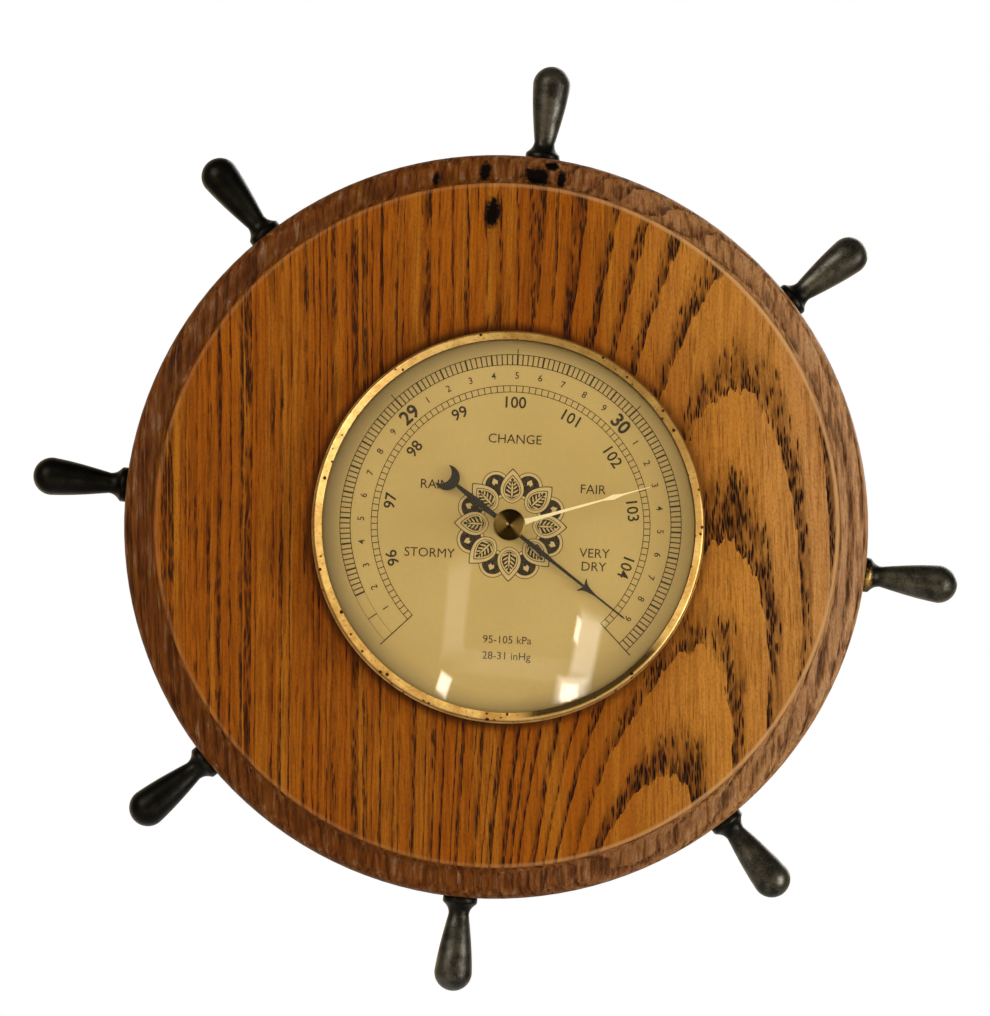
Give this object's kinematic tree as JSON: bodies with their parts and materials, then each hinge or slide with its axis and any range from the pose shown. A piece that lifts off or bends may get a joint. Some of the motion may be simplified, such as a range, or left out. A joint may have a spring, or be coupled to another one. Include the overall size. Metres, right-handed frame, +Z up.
{
  "type": "ship's wheel barometer",
  "caption": "Wall barometer shaped as a ship's wheel: oak disc with turned handles round a brass-rimmed aneroid movement with pointer and set hand.",
  "frame": {"origin": "centre of the oak disc's back face, on the wall", "axes": "+Z up along the top handle, +Y into the wall, so the dial faces -Y; +X to the right seen from the front"},
  "size_m": [0.238, 0.0445, 0.238],
  "materials": {
    "oak": "varnished oak, golden brown, worn",
    "dark_bronze": "brass with a dark brown-black patina, rubbed on the collars",
    "steel": "plain bright steel",
    "hanger_brass": "dull brass",
    "case_metal": "zinc-plated sheet, satin",
    "dial_paint": "satin gold-cream enamel with printed scales",
    "ring_paint": "dark brown lacquer",
    "glass": "clear, polished",
    "rubber": "black rubber",
    "bezel_brass": "polished brass with tarnish specks",
    "movement_brass": "lacquered brass",
    "spring_steel": "blued spring steel",
    "capsule_metal": "nickel silver sheet, satin",
    "black_paint": "black lacquer",
    "hand_brass": "polished pale brass",
    "knob_brass": "darkened brass, knurled edge"
  },
  "bodies": {
    "wheel": {"wheel_disc": "oak", "handle_1": "dark_bronze", "handle_2": "dark_bronze", "handle_3": "dark_bronze", "handle_4": "dark_bronze", "handle_5": "dark_bronze", "handle_6": "dark_bronze", "handle_7": "dark_bronze", "handle_8": "dark_bronze", "handle_studs": "steel", "hanger_plate": "hanger_brass", "hanger_screws": "steel", "case_cup": "case_metal", "case_clips": "case_metal", "clip_screws": "steel", "dial_plate": "dial_paint", "spacer_ring": "ring_paint", "glass": "glass", "glass_gasket": "rubber", "bezel": "bezel_brass", "base_plate": "movement_brass", "base_spacers": "steel", "base_screws": "steel", "adjusting_leaf": "spring_steel", "leaf_rivets": "movement_brass", "adjusting_bush": "movement_brass", "capsule_stud": "movement_brass", "capsule_nut": "movement_brass", "capsule_lower": "capsule_metal", "capsule_upper": "capsule_metal", "shaft_brackets": "movement_brass", "bracket_screws": "steel", "hairspring": "spring_steel", "hairspring_stud": "movement_brass", "bridge_pillars": "movement_brass", "pillar_screws": "steel", "bridge_plate": "movement_brass", "bridge_screws": "steel", "knob_bush": "hand_brass", "knob_washer": "steel"},
    "sector": {"sector_gear": "movement_brass", "sector_arbor": "steel"},
    "pointer_train": {"pinion_arbor": "steel", "spring_collet": "movement_brass", "pointer": "black_paint", "pointer_boss": "movement_brass"},
    "rocker": {"rocking_shaft": "steel", "lift_finger": "movement_brass", "rocking_arm": "movement_brass"},
    "link": {"link_wire": "steel"},
    "capsule_top": {"capsule_post": "movement_brass"},
    "set_hand_train": {"set_hand": "hand_brass", "set_boss": "hand_brass", "set_shaft": "hand_brass", "set_knob": "knob_brass"},
    "adjuster": {"adjusting_screw": "steel"}
  },
  "joints": [
    {"name": "sector_swing", "type": "hinge", "parent": "wheel", "child": "sector", "pos_m": [-0.014, -0.023, -0.0002], "axis": [0, 1, 0], "range_deg": [-1.5, 43.5], "stiffness_Nm_per_rad": 0.0056},
    {"name": "pointer_spin", "type": "hinge", "parent": "wheel", "child": "pointer_train", "pos_m": [0.0028, -0.023, -0.0002], "axis": [0, 1, 0], "range_deg": [-261, 9], "deforming": ["hairspring"]},
    {"name": "rocking_tilt", "type": "hinge", "parent": "wheel", "child": "rocker", "pos_m": [0, -0.01685, -0.0218], "axis": [1, 0, 0], "range_deg": [-13.68, 0.48]},
    {"name": "link_slide", "type": "slide", "parent": "wheel", "child": "link", "axis": [0, 0, 1], "range_m": [-0.00006, 0.00167]},
    {"name": "capsule_slide", "type": "slide", "parent": "wheel", "child": "capsule_top", "axis": [0, -1, 0], "range_m": [-0.000021, 0.000574], "deforming": ["capsule_upper"]},
    {"name": "set_hand_turn", "type": "hinge", "parent": "wheel", "child": "set_hand_train", "pos_m": [0.0028, -0.033, -0.0002], "axis": [0, 1, 0], "continuous": true},
    {"name": "adjusting_turn", "type": "hinge", "parent": "wheel", "child": "adjuster", "pos_m": [0.0028, -0.005, -0.04065], "axis": [0, 1, 0], "range_deg": [-360, 360]}
  ],
  "couplings": [
    {"joint": "pointer_spin", "follows": "sector_swing", "ratio": -6},
    {"joint": "rocking_tilt", "follows": "sector_swing", "ratio": -0.31429},
    {"joint": "link_slide", "follows": "sector_swing", "m_per_rad": 0.0022},
    {"joint": "capsule_slide", "follows": "sector_swing", "m_per_rad": 0.00075429}
  ]
}
